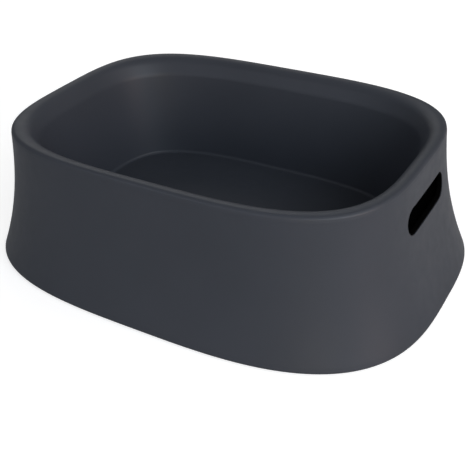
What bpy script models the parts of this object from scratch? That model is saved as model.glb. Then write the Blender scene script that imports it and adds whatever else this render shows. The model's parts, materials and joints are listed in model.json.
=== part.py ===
"""Pet bathtub: a double-skinned moulded tub with a hand slot at each end and a plugged drain.

An inner basin and a flared outer skirt meet in a lap joint under the rim. A base panel with
raised support cones closes the underside and carries the basin's floor. Each hand slot holds a
finger cup. The drain is a flanged waste with a strainer and a rubber stopper that lifts out by
a folding ring.

Metres. +X runs along the tub, +Y across it and +Z up. The origin is on the ground under the
middle of the tub.
"""

import math

import bmesh
import bpy
from mathutils import Matrix, Vector

MM = 0.001
GAP = 0.3 * MM  # between pieces that touch

# Outside shape
HEIGHT = 215.0 * MM
RIM_LENGTH = 620.0 * MM
RIM_WIDTH = 446.0 * MM
FOOT_LENGTH = 725.0 * MM
FOOT_WIDTH = 535.0 * MM
GROUND_GAP = 2.5 * MM  # the skirt's lower edge hangs this far above the ground
RIM_POWER = 3.54  # superellipse powers of the plan outlines
BASIN_POWER = 3.4
FOOT_POWER = 3.15
FLARE_POWER = 2.35  # how late the side sweeps out towards the foot
FLARE_STRAIGHT = 0.28  # share of the flare that is a straight slope
OUTLINE_POINTS = 40
CORNER_CROWDING = 0.8  # under 1 draws an outline's points closer together round its corners

# Walls
WALL = 3.5 * MM
DRAFT = math.radians(8.5)
EDGE_RADIUS = 5.0 * MM

# Rim and basin, each inset measured from the rim's outline
LIP_DEPTH = 10.0 * MM
LIP_UPRIGHT = 3.0 * MM  # the lip's lowest part stands upright for this far
SHOULDER_START = 6.5 * MM  # where the rim's top starts to roll down into the basin
SHOULDER_RADIUS = 18.0 * MM
SHOULDER_SLOPE = math.radians(65.0)
SHOULDER_DEPTH = 26.5 * MM
FLOOR_HEIGHT = 46.0 * MM
FLOOR_RADIUS = 6.0 * MM

# Skirt
LAP_TOP_GAP = 1.0 * MM
FLANGE_WIDTH = 24.0 * MM

# Hand slots
SLOT_LENGTH = 143.0 * MM
SLOT_HEIGHT = 40.0 * MM
SLOT_DROP = 61.5 * MM  # from the rim to the slot's middle
CUP_WALL = 2.5 * MM
CUP_CLEARANCE = 0.5 * MM
CUP_MARGIN = 8.0 * MM  # how far the cup reaches past the slot, behind the skirt
CUP_BASIN_GAP = 3.0 * MM
NECK_RECESS = 0.8 * MM

# Drain, its radii measured outwards from the barrel
DRAIN_INSET = 160.0 * MM  # from the end of the rim
DISH_WIDTH = 28.0 * MM
DISH_FALL = 2.0 * MM
RECESS_MARGIN = 9.0 * MM
RECESS_DEPTH = 12.0 * MM
RECESS_DRAFT = math.radians(10.0)
RECESS_CORNER = 3.0 * MM
BARREL_RADIUS = 22.0 * MM
BARREL_FIT = 0.6 * MM
BARREL_END = 6.0 * MM
THREAD_PITCH = 4.0 * MM
THREAD_DEPTH = 0.7 * MM
COLLAR_WIDTH = 11.0 * MM
COLLAR_HEIGHT = 3.0 * MM
COLLAR_CHAMFER = 1.0 * MM
SEAL_HEIGHT = 2.0 * MM
SEAL_WIDTH = 10.0 * MM
SEAT_WALL = 1.0 * MM  # the barrel's thickness at the top of the seat
SEAT_DEPTH = 12.0 * MM
SEAT_TAPER = 2.1 * MM
STRAINER_HEIGHT = 2.0 * MM
LEDGE_WIDTH = 3.0 * MM
STRAINER_HOLE_RADIUS = 2.2 * MM
STRAINER_CIRCLES = ((0.36, 5), (0.72, 10))  # share of the disc's radius, and holes on it
NUT_WALL = 7.0 * MM
NUT_HEIGHT = 10.0 * MM
NUT_LUGS = 6
LUG_REACH = 3.0 * MM
LUG_WIDTH = 9.0 * MM
LUG_HEIGHT = 8.0 * MM

# Stopper, eye and ring
STOPPER_FLANGE_WIDTH = 4.0 * MM
STOPPER_FLANGE_HEIGHT = 2.5 * MM
STOPPER_PLUG_HEIGHT = 10.0 * MM
STOPPER_CHAMFER = 1.0 * MM
EYE_WIDTH = 6.0 * MM
EYE_THICKNESS = 3.0 * MM
EYE_HEIGHT = 5.0 * MM
EYE_STEM_RADIUS = 2.0 * MM
EYE_STEM_LENGTH = 6.0 * MM
EYE_HOLE_RADIUS = 1.6 * MM
RING_WIRE = 1.0 * MM
RING_RADIUS = 10.0 * MM

# Base panel, its supports and fasteners
PANEL_WALL = 3.5 * MM
PANEL_INSET = 10.5 * MM  # from the foot's outline
BOSS_HEIGHT = 10.0 * MM
BOSS_RADIUS = 7.0 * MM
CONE_TOP_RADIUS = 16.0 * MM
CONE_FOOT_RADIUS = 30.0 * MM
SUPPORT_INSET_X = 160.0 * MM  # from the rim's outline
SUPPORT_INSET_Y = 128.0 * MM
EDGE_BOSS_RADIUS = 5.0 * MM
EDGE_BOSS_HEIGHT = 8.0 * MM
EDGE_SCREWS = 8
EDGE_SCREW_INSET = 17.0 * MM
SHANK_RADIUS = 1.6 * MM
PILOT_RADIUS = 1.9 * MM
CLEAR_RADIUS = 2.1 * MM
HEAD_RADIUS = 4.0 * MM
HEAD_HEIGHT = 2.4 * MM
HEAD_CHAMFER = 1.0 * MM
SOCKET_RADIUS = 1.8 * MM
SOCKET_DEPTH = 1.4 * MM
TIP_RADIUS = 0.5 * MM
POINT_LENGTH = 3.2 * MM
PILOT_ROOF = 1.5 * MM  # plastic left above a pilot hole in a boss
TIP_GAP = 1.0 * MM  # between a screw's tip and the end of its pilot hole
OUTLET_CLEARANCE = 4.0 * MM

# Feet
FOOT_PAD_RADIUS = 20.0 * MM
FOOT_CHAMFER = 1.0 * MM
FOOT_STEM_RADIUS = 4.0 * MM
FOOT_BARB_RADIUS = 5.5 * MM
FOOT_BARB_HEIGHT = 4.0 * MM
FOOT_TIP_RADIUS = 3.3 * MM
CORNER_FOOT_INSET_X = 112.5 * MM  # from the foot's outline
CORNER_FOOT_INSET_Y = 105.5 * MM
MIDDLE_FOOT_INSET = 63.5 * MM

# Places and radii that follow from the sizes above
SLOT_Z = HEIGHT - SLOT_DROP
DRAIN_X = RIM_LENGTH / 2 - DRAIN_INSET
SUPPORT_X = RIM_LENGTH / 2 - SUPPORT_INSET_X
SUPPORT_Y = RIM_WIDTH / 2 - SUPPORT_INSET_Y
COLLAR_RADIUS = BARREL_RADIUS + COLLAR_WIDTH
RECESS_RADIUS = COLLAR_RADIUS + RECESS_MARGIN
DISH_RADIUS = RECESS_RADIUS + DISH_WIDTH
SEAT_RADIUS = BARREL_RADIUS - SEAT_WALL
STOPPER_FLANGE_RADIUS = SEAT_RADIUS + STOPPER_FLANGE_WIDTH

# Heights that follow from the sizes above
SKIN_BOTTOM = GROUND_GAP
FLANGE_TOP = SKIN_BOTTOM + WALL
PANEL_BOTTOM = FLANGE_TOP + GAP
PANEL_TOP = PANEL_BOTTOM + PANEL_WALL
FLOOR_UNDERSIDE = FLOOR_HEIGHT - WALL
BOSS_BOTTOM = FLOOR_UNDERSIDE - BOSS_HEIGHT
CONE_TOP = BOSS_BOTTOM - GAP
SUPPORT_PILOT_TOP = FLOOR_UNDERSIDE - PILOT_ROOF
SUPPORT_HEAD_SEAT = CONE_TOP - PANEL_WALL - GAP
EDGE_PILOT_TOP = PANEL_TOP + EDGE_BOSS_HEIGHT - PILOT_ROOF
EDGE_HEAD_SEAT = SKIN_BOTTOM + HEAD_HEIGHT
RECESS_FLOOR = FLOOR_HEIGHT - DISH_FALL - RECESS_DEPTH
RECESS_UNDERSIDE = RECESS_FLOOR - WALL
COLLAR_BOTTOM = RECESS_FLOOR + GAP + SEAL_HEIGHT + GAP
COLLAR_TOP = COLLAR_BOTTOM + COLLAR_HEIGHT
SEAT_BOTTOM = COLLAR_TOP - SEAT_DEPTH
STRAINER_BOTTOM = SEAT_BOTTOM - STRAINER_HEIGHT - GAP
WASHER_TOP = RECESS_UNDERSIDE - GAP
NUT_TOP = WASHER_TOP - SEAL_HEIGHT - GAP
STOPPER_BOTTOM = COLLAR_TOP + GAP
STOPPER_TOP = STOPPER_BOTTOM + STOPPER_FLANGE_HEIGHT
RING_Z = STOPPER_TOP + GAP + RING_WIRE

SHELL_GREY = (0.040, 0.043, 0.051, 1.0)
PANEL_GREY = (0.024, 0.025, 0.028, 1.0)
BLACK = (0.004, 0.004, 0.004, 1.0)
RUBBER_BLACK = (0.012, 0.012, 0.012, 1.0)
STEEL = (0.60, 0.60, 0.62, 1.0)


# ---------------------------------------------------------------- scene and helpers


def clear_scene():
    for old in list(bpy.data.objects):
        bpy.data.objects.remove(old, do_unlink=True)
    collections = []
    for name in ("pet_bathtub", "cutters"):
        made = bpy.data.collections.new(name)
        bpy.context.scene.collection.children.link(made)
        collections.append(made)
    return collections


def material(name, colour, roughness, metallic=0.0):
    made = bpy.data.materials.new(name)
    made.use_nodes = True
    made.diffuse_color = colour
    shader = made.node_tree.nodes["Principled BSDF"]
    shader.inputs["Base Color"].default_value = colour
    shader.inputs["Roughness"].default_value = roughness
    shader.inputs["Metallic"].default_value = metallic
    return made


def add_part(name, mesh, finish):
    """A sub-part's object, in the tub's collection."""
    made = bpy.data.objects.new(name, mesh)
    PARTS.objects.link(made)
    if not mesh.materials:
        mesh.materials.append(finish)
    return made


def add_cutter(name, mesh):
    """A helper that a Boolean reads, never seen itself."""
    made = bpy.data.objects.new(name, mesh)
    CUTTERS.objects.link(made)
    made.hide_render = True
    made.display_type = "WIRE"
    return made


def boolean(target, tool, operation):
    modifier = target.modifiers.new(tool.name, "BOOLEAN")
    modifier.operation = operation
    modifier.solver = "EXACT"
    modifier.object = tool


def evaluated_mesh(source, name):
    """The mesh that source's modifiers make, as plain data. It takes the place of source."""
    bpy.context.view_layer.update()
    graph = bpy.context.evaluated_depsgraph_get()
    mesh = bpy.data.meshes.new_from_object(source.evaluated_get(graph))
    mesh.name = name
    bpy.data.objects.remove(source, do_unlink=True)
    return mesh


def smooth(mesh, angle=35.0):
    mesh.shade_smooth()
    mesh.set_sharp_from_angle(angle=math.radians(angle))
    return mesh


def arc(centre, radius, start, end, steps):
    """Points round part of a circle, both ends included. The angles are in degrees."""
    points = []
    for step in range(steps + 1):
        angle = math.radians(start + (end - start) * step / steps)
        points.append((centre[0] + radius * math.cos(angle), centre[1] + radius * math.sin(angle)))
    return points


def bezier(first, handle_a, handle_b, last, steps):
    """Points of a cubic curve, its first point left out."""
    a, b, c, d = (Vector(point) for point in (first, handle_a, handle_b, last))
    points = []
    for step in range(1, steps + 1):
        t = step / steps
        point = a * (1 - t) ** 3 + b * 3 * t * (1 - t) ** 2 + c * 3 * t * t * (1 - t) + d * t**3
        points.append(tuple(point))
    return points


# ---------------------------------------------------------------- plan outlines and lofts


def outline_point(half_length, half_width, power, angle, z):
    """A superellipse's point. It lies roughly at this angle, drawn towards the corner."""
    x = math.copysign(abs(math.cos(angle)) ** CORNER_CROWDING, math.cos(angle))
    y = math.copysign(abs(math.sin(angle)) ** CORNER_CROWDING, math.sin(angle))
    reach = (abs(x) ** power + abs(y) ** power) ** (-1 / power)
    return Vector((half_length * reach * x, half_width * reach * y, z))


def superellipse(half_length, half_width, power, z):
    ring = []
    for index in range(OUTLINE_POINTS):
        angle = 2 * math.pi * index / OUTLINE_POINTS
        ring.append(outline_point(half_length, half_width, power, angle, z))
    return ring


def circle(centre_x, radius, z):
    ring = []
    for index in range(OUTLINE_POINTS):
        angle = 2 * math.pi * index / OUTLINE_POINTS
        ring.append(Vector((centre_x + radius * math.cos(angle), radius * math.sin(angle), z)))
    return ring


def flare(z):
    """How far the side has swept out at this height: 0 at the rim, 1 at the foot."""
    depth = (HEIGHT - z) / (HEIGHT - SKIN_BOTTOM)
    return FLARE_STRAIGHT * depth + (1 - FLARE_STRAIGHT) * depth**FLARE_POWER


def skin_ring(z, inset):
    """The tub's outer surface at a height, drawn in by inset."""
    share = flare(z)
    length = RIM_LENGTH + (FOOT_LENGTH - RIM_LENGTH) * share
    width = RIM_WIDTH + (FOOT_WIDTH - RIM_WIDTH) * share
    power = RIM_POWER + (FOOT_POWER - RIM_POWER) * share
    return superellipse(length / 2 - inset, width / 2 - inset, power, z)


def rim_ring(inset, z, power=RIM_POWER):
    """The rim's outline, drawn in by inset, at any height."""
    return superellipse(RIM_LENGTH / 2 - inset, RIM_WIDTH / 2 - inset, power, z)


def basin_ring(inset, z):
    """A ring of the basin's surface. Its outline changes power over the rim."""
    share = min(1.0, inset / (SHOULDER_START + SHOULDER_RADIUS))
    return rim_ring(inset, z, RIM_POWER + (BASIN_POWER - RIM_POWER) * share)


def foot_ring(inset, z):
    return superellipse(FOOT_LENGTH / 2 - inset, FOOT_WIDTH / 2 - inset, FOOT_POWER, z)


def loft(name, rings, capped=False):
    """A surface through rings of equal point counts. With caps it is a closed solid."""
    mesh = bpy.data.meshes.new(name)
    shape = bmesh.new()
    rows = [[shape.verts.new(point) for point in ring] for ring in rings]
    for lower, upper in zip(rows, rows[1:]):
        for index in range(len(lower)):
            after = (index + 1) % len(lower)
            shape.faces.new((lower[index], lower[after], upper[after], upper[index]))
    if capped:
        shape.faces.new(list(reversed(rows[0])))
        shape.faces.new(rows[-1])
    shape.to_mesh(mesh)
    shape.free()
    return mesh


def solidify(target, thickness):
    """Thickens an open surface on the side that its normals point away from."""
    modifier = target.modifiers.new("wall", "SOLIDIFY")
    modifier.thickness = thickness
    modifier.offset = -1.0
    modifier.use_even_offset = True
    modifier.use_quality_normals = True


def skin_block(name, inset, low, high, rows=6):
    """A solid slice of the tub's outer shape, to trim what lies behind the skirt."""
    rings = [skin_ring(low + (high - low) * row / rows, inset) for row in range(rows + 1)]
    return add_cutter(name, loft(name, rings, capped=True))


# ---------------------------------------------------------------- simple solids


def cylinders(name, places, radius, low, high, top_radius=None, segments=16):
    """One mesh of upright cylinders or cones that stand apart, at the same height."""
    mesh = bpy.data.meshes.new(name)
    shape = bmesh.new()
    for x, y in places:
        bmesh.ops.create_cone(
            shape,
            cap_ends=True,
            segments=segments,
            radius1=radius,
            radius2=radius if top_radius is None else top_radius,
            depth=high - low,
            matrix=Matrix.Translation((x, y, (low + high) / 2)),
        )
    shape.to_mesh(mesh)
    shape.free()
    return mesh


def boxes(name, sizes_and_turns):
    """One mesh of boxes, each (size, centre, turn about Z)."""
    mesh = bpy.data.meshes.new(name)
    shape = bmesh.new()
    for size, centre, turn in sizes_and_turns:
        place = Matrix.Rotation(turn, 4, "Z") @ Matrix.Translation(centre)
        bmesh.ops.create_cube(shape, size=1.0, matrix=place @ Matrix.Diagonal((*size, 1.0)))
    shape.to_mesh(mesh)
    shape.free()
    return mesh


def stadium_prism(name, length, height, centre_z, low_x, high_x, steps=7):
    """A slot shape with round ends, across the tub, extruded along X."""
    radius = height / 2
    reach = length / 2 - radius
    outline = arc((reach, centre_z), radius, -90, 90, steps)
    outline += arc((-reach, centre_z), radius, 90, 270, steps)
    mesh = bpy.data.meshes.new(name)
    shape = bmesh.new()
    face = shape.faces.new([shape.verts.new((low_x, y, z)) for y, z in outline])
    grown = bmesh.ops.extrude_face_region(shape, geom=[face])
    moved = [item for item in grown["geom"] if isinstance(item, bmesh.types.BMVert)]
    bmesh.ops.translate(shape, verts=moved, vec=(high_x - low_x, 0, 0))
    bmesh.ops.recalc_face_normals(shape, faces=shape.faces)
    shape.to_mesh(mesh)
    shape.free()
    return mesh


def turned(name, profile, steps, closed):
    """A mesh spun about Z from (radius, z) points that run down the outer side. A closed
    profile is a ring's section; an open one starts and ends on the axis."""
    mesh = bpy.data.meshes.new(name)
    last = len(profile) - 1
    edges = [(index, index + 1) for index in range(last)]
    if closed:
        edges.append((last, 0))
    mesh.from_pydata([(radius, 0.0, z) for radius, z in profile], edges, [])
    spun = bpy.data.objects.new(name, mesh)
    CUTTERS.objects.link(spun)
    screw = spun.modifiers.new("spin", "SCREW")
    screw.axis = "Z"
    screw.steps = steps
    screw.render_steps = steps
    screw.use_merge_vertices = True
    screw.merge_threshold = 0.00001
    made = evaluated_mesh(spun, name)
    bpy.data.meshes.remove(mesh)
    return smooth(made)


# ---------------------------------------------------------------- shells


def shoulder_foot():
    """Where the shoulder's slant meets the basin's wall, as an (inset, z) point."""
    slant_start = SHOULDER_START + SHOULDER_RADIUS * math.sin(SHOULDER_SLOPE)
    slant_depth = SHOULDER_DEPTH - SHOULDER_RADIUS * (1 - math.cos(SHOULDER_SLOPE))
    return slant_start + slant_depth / math.tan(SHOULDER_SLOPE), HEIGHT - SHOULDER_DEPTH


def basin_section():
    """The basin's visible surface, from the lip's lower edge over the rim to the floor's edge,
    as (inset, z) points."""
    points = arc((EDGE_RADIUS, HEIGHT - EDGE_RADIUS), -EDGE_RADIUS, 0, -90, 2)
    slope = math.degrees(SHOULDER_SLOPE)
    points += arc((SHOULDER_START, HEIGHT - SHOULDER_RADIUS), SHOULDER_RADIUS, 90, 90 - slope, 3)
    wall_top = shoulder_foot()
    points.append(wall_top)
    bend_start = FLOOR_HEIGHT + FLOOR_RADIUS * (1 - math.sin(DRAFT))
    wall_foot = wall_top[0] + (wall_top[1] - bend_start) * math.tan(DRAFT)
    centre = (wall_foot + FLOOR_RADIUS * math.cos(DRAFT), FLOOR_HEIGHT + FLOOR_RADIUS)
    points += arc(centre, FLOOR_RADIUS, 180 + math.degrees(DRAFT), 270, 3)
    return points


def recess_section():
    """The drain recess, from the dish's rim to the drain hole, as (radius, z) points."""
    edge = FLOOR_HEIGHT - DISH_FALL
    top_centre = (RECESS_RADIUS, edge - EDGE_RADIUS)
    draft = math.degrees(RECESS_DRAFT)
    points = [(DISH_RADIUS, FLOOR_HEIGHT)]
    points += arc(top_centre, EDGE_RADIUS, 90, 180 - draft, 2)
    side_top = points[-1]
    bend_start = RECESS_FLOOR + RECESS_CORNER * (1 - math.sin(RECESS_DRAFT))
    side_foot = side_top[0] - (side_top[1] - bend_start) * math.tan(RECESS_DRAFT)
    centre = (side_foot - RECESS_CORNER * math.cos(RECESS_DRAFT), RECESS_FLOOR + RECESS_CORNER)
    points += arc(centre, RECESS_CORNER, -draft, -90, 1)
    points.append((BARREL_RADIUS + BARREL_FIT, RECESS_FLOOR))
    return points


def support_places():
    return [(x, y) for x in (-SUPPORT_X, 0.0, SUPPORT_X) for y in (-SUPPORT_Y, SUPPORT_Y)]


def make_basin(finish):
    lip_outline = skin_ring(HEIGHT - LIP_DEPTH + LIP_UPRIGHT, 0.0)
    rings = [[Vector((point.x, point.y, HEIGHT - LIP_DEPTH)) for point in lip_outline]]
    rings += [basin_ring(inset, z) for inset, z in basin_section()]
    rings += [circle(DRAIN_X, radius, z) for radius, z in recess_section()]
    basin = add_part("inner_basin", smooth(loft("inner_basin", rings)), finish)
    solidify(basin, WALL)
    boss_top = FLOOR_HEIGHT - WALL / 2
    bosses = cylinders("basin_bosses", support_places(), BOSS_RADIUS, BOSS_BOTTOM, boss_top, segments=12)
    boolean(basin, add_cutter("basin_bosses", bosses), "UNION")
    pilots = cylinders(
        "basin_pilots", support_places(), PILOT_RADIUS, BOSS_BOTTOM - MM, SUPPORT_PILOT_TOP, segments=8
    )
    boolean(basin, add_cutter("basin_pilots", pilots), "DIFFERENCE")
    return basin


def edge_screw_places():
    """Points round the skirt's flange, two on each side of the tub."""
    half_length = FOOT_LENGTH / 2 - EDGE_SCREW_INSET
    half_width = FOOT_WIDTH / 2 - EDGE_SCREW_INSET
    places = []
    for index in range(EDGE_SCREWS):
        angle = 2 * math.pi * (index + 0.5) / EDGE_SCREWS
        point = outline_point(half_length, half_width, FOOT_POWER, angle, 0.0)
        places.append((point.x, point.y))
    return places


def skirt_rings():
    """The skirt's visible surface, from the flange's inner edge round the foot and up the side
    to the lap under the rim."""
    rings = [foot_ring(FLANGE_WIDTH, SKIN_BOTTOM)]
    for inset, z in arc((EDGE_RADIUS, SKIN_BOTTOM + EDGE_RADIUS), EDGE_RADIUS, 270, 180, 2):
        rings.append(skin_ring(z, inset))
    side_bottom = SKIN_BOTTOM + EDGE_RADIUS
    side_top = HEIGHT - LIP_DEPTH - 2 * GAP
    rows = 4
    for row in range(1, rows + 1):
        share = row / rows
        rings.append(skin_ring(side_bottom + (side_top - side_bottom) * share, 0.0))
    lap_inset = WALL + GAP
    rings.append(skin_ring(side_top, lap_inset))
    rings.append(rim_ring(lap_inset + GAP, HEIGHT - WALL - LAP_TOP_GAP))
    return rings


def make_skirt(finish):
    skirt = add_part("outer_skirt", smooth(loft("outer_skirt", skirt_rings())), finish)
    solidify(skirt, WALL)
    slot = stadium_prism("slot", SLOT_LENGTH, SLOT_HEIGHT, SLOT_Z, -FOOT_LENGTH, FOOT_LENGTH)
    boolean(skirt, add_cutter("slot", slot), "DIFFERENCE")
    head_slope = (HEAD_RADIUS - SHANK_RADIUS) / (HEAD_HEIGHT - GAP)
    holes = cylinders(
        "flange_countersinks",
        edge_screw_places(),
        CLEAR_RADIUS + head_slope * (HEAD_HEIGHT + MM),
        SKIN_BOTTOM - MM,
        EDGE_HEAD_SEAT,
        top_radius=CLEAR_RADIUS,
        segments=8,
    )
    boolean(skirt, add_cutter("flange_countersinks", holes), "DIFFERENCE")
    shanks = cylinders(
        "flange_shanks", edge_screw_places(), CLEAR_RADIUS, SKIN_BOTTOM, PANEL_TOP, segments=8
    )
    boolean(skirt, add_cutter("flange_shanks", shanks), "DIFFERENCE")
    return skirt


# ---------------------------------------------------------------- hand slots


def basin_side_x(z):
    """Where the back of the basin's end wall is at this height."""
    wall_top_inset, wall_top = shoulder_foot()
    inset = wall_top_inset + max(0.0, wall_top - z) * math.tan(DRAFT)
    return RIM_LENGTH / 2 - inset + WALL / math.cos(DRAFT)


def make_cup(finish):
    """A black finger cup for each slot. Its neck lines the slot, and its pocket is taller than
    the slot, so that fingers can close behind the skin."""
    pocket_height = SLOT_HEIGHT + 2 * CUP_MARGIN
    pocket_length = SLOT_LENGTH + 2 * CUP_MARGIN
    low = SLOT_Z - pocket_height
    high = min(SLOT_Z + pocket_height, HEIGHT - LIP_DEPTH)
    back = basin_side_x(SLOT_Z + pocket_height / 2) + CUP_BASIN_GAP
    far = FOOT_LENGTH / 2
    behind = WALL + CUP_CLEARANCE
    pocket_front = skin_block("pocket_front", behind, low, high)
    neck_front = skin_block("neck_front", NECK_RECESS, low, high)
    hollow_front = skin_block("hollow_front", behind + CUP_WALL, low, high)

    pocket = add_cutter("cup", stadium_prism("cup", pocket_length, pocket_height, SLOT_Z, back, far))
    boolean(pocket, pocket_front, "INTERSECT")
    neck_fit = 2 * GAP
    neck = stadium_prism(
        "cup_neck", SLOT_LENGTH - neck_fit, SLOT_HEIGHT - neck_fit, SLOT_Z, back + CUP_WALL, far
    )
    neck = add_cutter("cup_neck", neck)
    boolean(neck, neck_front, "INTERSECT")
    boolean(pocket, neck, "UNION")
    hollow = stadium_prism(
        "cup_hollow",
        pocket_length - 2 * CUP_WALL,
        pocket_height - 2 * CUP_WALL,
        SLOT_Z,
        back + CUP_WALL,
        far,
    )
    hollow = add_cutter("cup_hollow", hollow)
    boolean(hollow, hollow_front, "INTERSECT")
    boolean(pocket, hollow, "DIFFERENCE")
    throat_fit = neck_fit + 2 * CUP_WALL
    throat = stadium_prism(
        "cup_throat", SLOT_LENGTH - throat_fit, SLOT_HEIGHT - throat_fit, SLOT_Z, back + 2 * CUP_WALL, far
    )
    boolean(pocket, add_cutter("cup_throat", throat), "DIFFERENCE")

    mesh = smooth(evaluated_mesh(pocket, "handle_cup"))
    mesh.materials.clear()
    add_part("handle_cup_right", mesh, finish)
    left = add_part("handle_cup_left", mesh, finish)
    left.rotation_euler.z = math.pi


# ---------------------------------------------------------------- base panel and its screws


def foot_places():
    corner_x = FOOT_LENGTH / 2 - CORNER_FOOT_INSET_X
    corner_y = FOOT_WIDTH / 2 - CORNER_FOOT_INSET_Y
    middle_y = FOOT_WIDTH / 2 - MIDDLE_FOOT_INSET
    corners = [(x, y) for x in (-corner_x, corner_x) for y in (-corner_y, corner_y)]
    return corners + [(0.0, -middle_y), (0.0, middle_y)]


def make_panel(finish):
    rings = [foot_ring(PANEL_INSET, PANEL_BOTTOM), foot_ring(PANEL_INSET, PANEL_TOP)]
    panel = add_part("base_panel", loft("base_panel", rings, capped=True), finish)
    middle = (PANEL_BOTTOM + PANEL_TOP) / 2
    cone_slope = (CONE_FOOT_RADIUS - CONE_TOP_RADIUS) / (CONE_TOP - PANEL_TOP)
    cones = cylinders(
        "cones",
        support_places(),
        CONE_FOOT_RADIUS + cone_slope * (PANEL_TOP - middle),
        middle,
        CONE_TOP,
        top_radius=CONE_TOP_RADIUS,
        segments=14,
    )
    boolean(panel, add_cutter("cones", cones), "UNION")
    hollow_bottom = PANEL_BOTTOM - MM
    hollow_top = CONE_TOP - PANEL_WALL
    hollow_radius = CONE_TOP_RADIUS - PANEL_WALL
    hollows = cylinders(
        "cone_hollows",
        support_places(),
        hollow_radius + cone_slope * (hollow_top - hollow_bottom),
        hollow_bottom,
        hollow_top,
        top_radius=hollow_radius,
        segments=14,
    )
    boolean(panel, add_cutter("cone_hollows", hollows), "DIFFERENCE")
    boss_top = PANEL_TOP + EDGE_BOSS_HEIGHT
    bosses = cylinders("edge_bosses", edge_screw_places(), EDGE_BOSS_RADIUS, middle, boss_top, segments=10)
    boolean(panel, add_cutter("edge_bosses", bosses), "UNION")
    drilled = (
        ("edge_pilots", edge_screw_places(), PILOT_RADIUS, EDGE_PILOT_TOP, 8),
        ("support_holes", support_places(), CLEAR_RADIUS, CONE_TOP + MM, 8),
        ("stem_holes", foot_places(), FOOT_STEM_RADIUS + GAP, PANEL_TOP + MM, 10),
        ("outlet_hole", [(DRAIN_X, 0.0)], BARREL_RADIUS + OUTLET_CLEARANCE, PANEL_TOP + MM, 24),
    )
    for name, places, radius, top, segments in drilled:
        tool = cylinders(name, places, radius, hollow_bottom, top, segments=segments)
        boolean(panel, add_cutter(name, tool), "DIFFERENCE")
    return panel


def screw_mesh(name, head_profile, length):
    """A hex-socket screw, tip up, with the underside of its head at z = 0."""
    profile = [(0.0, length), (TIP_RADIUS, length), (SHANK_RADIUS, length - POINT_LENGTH)]
    profile += [(SHANK_RADIUS, 0.0)] + head_profile
    made = add_cutter(name, turned(name, profile, 8, closed=False))
    mouth = -HEAD_HEIGHT - MM
    end = SOCKET_DEPTH - HEAD_HEIGHT
    socket = cylinders(name + "_socket", [(0.0, 0.0)], SOCKET_RADIUS, mouth, end, segments=6)
    boolean(made, add_cutter(name + "_socket", socket), "DIFFERENCE")
    return smooth(evaluated_mesh(made, name))


def make_screws(finish):
    pan_head = [
        (HEAD_RADIUS, 0.0),
        (HEAD_RADIUS, HEAD_CHAMFER - HEAD_HEIGHT),
        (HEAD_RADIUS - HEAD_CHAMFER, -HEAD_HEIGHT),
        (0.0, -HEAD_HEIGHT),
    ]
    support = screw_mesh("support_screw", pan_head, SUPPORT_PILOT_TOP - TIP_GAP - SUPPORT_HEAD_SEAT)
    for number, (x, y) in enumerate(support_places(), 1):
        add_part(f"support_screw_{number}", support, finish).location = (x, y, SUPPORT_HEAD_SEAT)

    flat_head = [(HEAD_RADIUS, -HEAD_HEIGHT + GAP), (HEAD_RADIUS, -HEAD_HEIGHT), (0.0, -HEAD_HEIGHT)]
    edge = screw_mesh("edge_screw", flat_head, EDGE_PILOT_TOP - TIP_GAP - EDGE_HEAD_SEAT)
    for number, (x, y) in enumerate(edge_screw_places(), 1):
        add_part(f"edge_screw_{number}", edge, finish).location = (x, y, EDGE_HEAD_SEAT)


def make_feet(finish):
    pad_top = PANEL_BOTTOM - GAP
    barb_bottom = PANEL_TOP + GAP
    profile = [
        (0.0, barb_bottom + FOOT_BARB_HEIGHT),
        (FOOT_TIP_RADIUS, barb_bottom + FOOT_BARB_HEIGHT),
        (FOOT_BARB_RADIUS, barb_bottom),
        (FOOT_STEM_RADIUS, barb_bottom),
        (FOOT_STEM_RADIUS, pad_top),
        (FOOT_PAD_RADIUS, pad_top),
        (FOOT_PAD_RADIUS, FOOT_CHAMFER),
        (FOOT_PAD_RADIUS - FOOT_CHAMFER, 0.0),
        (0.0, 0.0),
    ]
    mesh = turned("foot", profile, 14, closed=False)
    names = ("left_front", "left_back", "right_front", "right_back", "middle_front", "middle_back")
    for name, (x, y) in zip(names, foot_places()):
        add_part(f"foot_{name}", mesh, finish).location = (x, y, 0.0)


# ---------------------------------------------------------------- drain


def ring_section(inner, outer, low, high):
    """A plain ring's section, outer side first."""
    return [(outer, high), (outer, low), (inner, low), (inner, high)]


def make_drain_seals(finish):
    inner = BARREL_RADIUS + BARREL_FIT
    outer = BARREL_RADIUS + SEAL_WIDTH
    for name, low in (
        ("drain_gasket", RECESS_FLOOR + GAP),
        ("drain_washer", WASHER_TOP - SEAL_HEIGHT),
    ):
        mesh = turned(name, ring_section(inner, outer, 0.0, SEAL_HEIGHT), 24, closed=True)
        add_part(name, mesh, finish).location = (DRAIN_X, 0.0, low)


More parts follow.
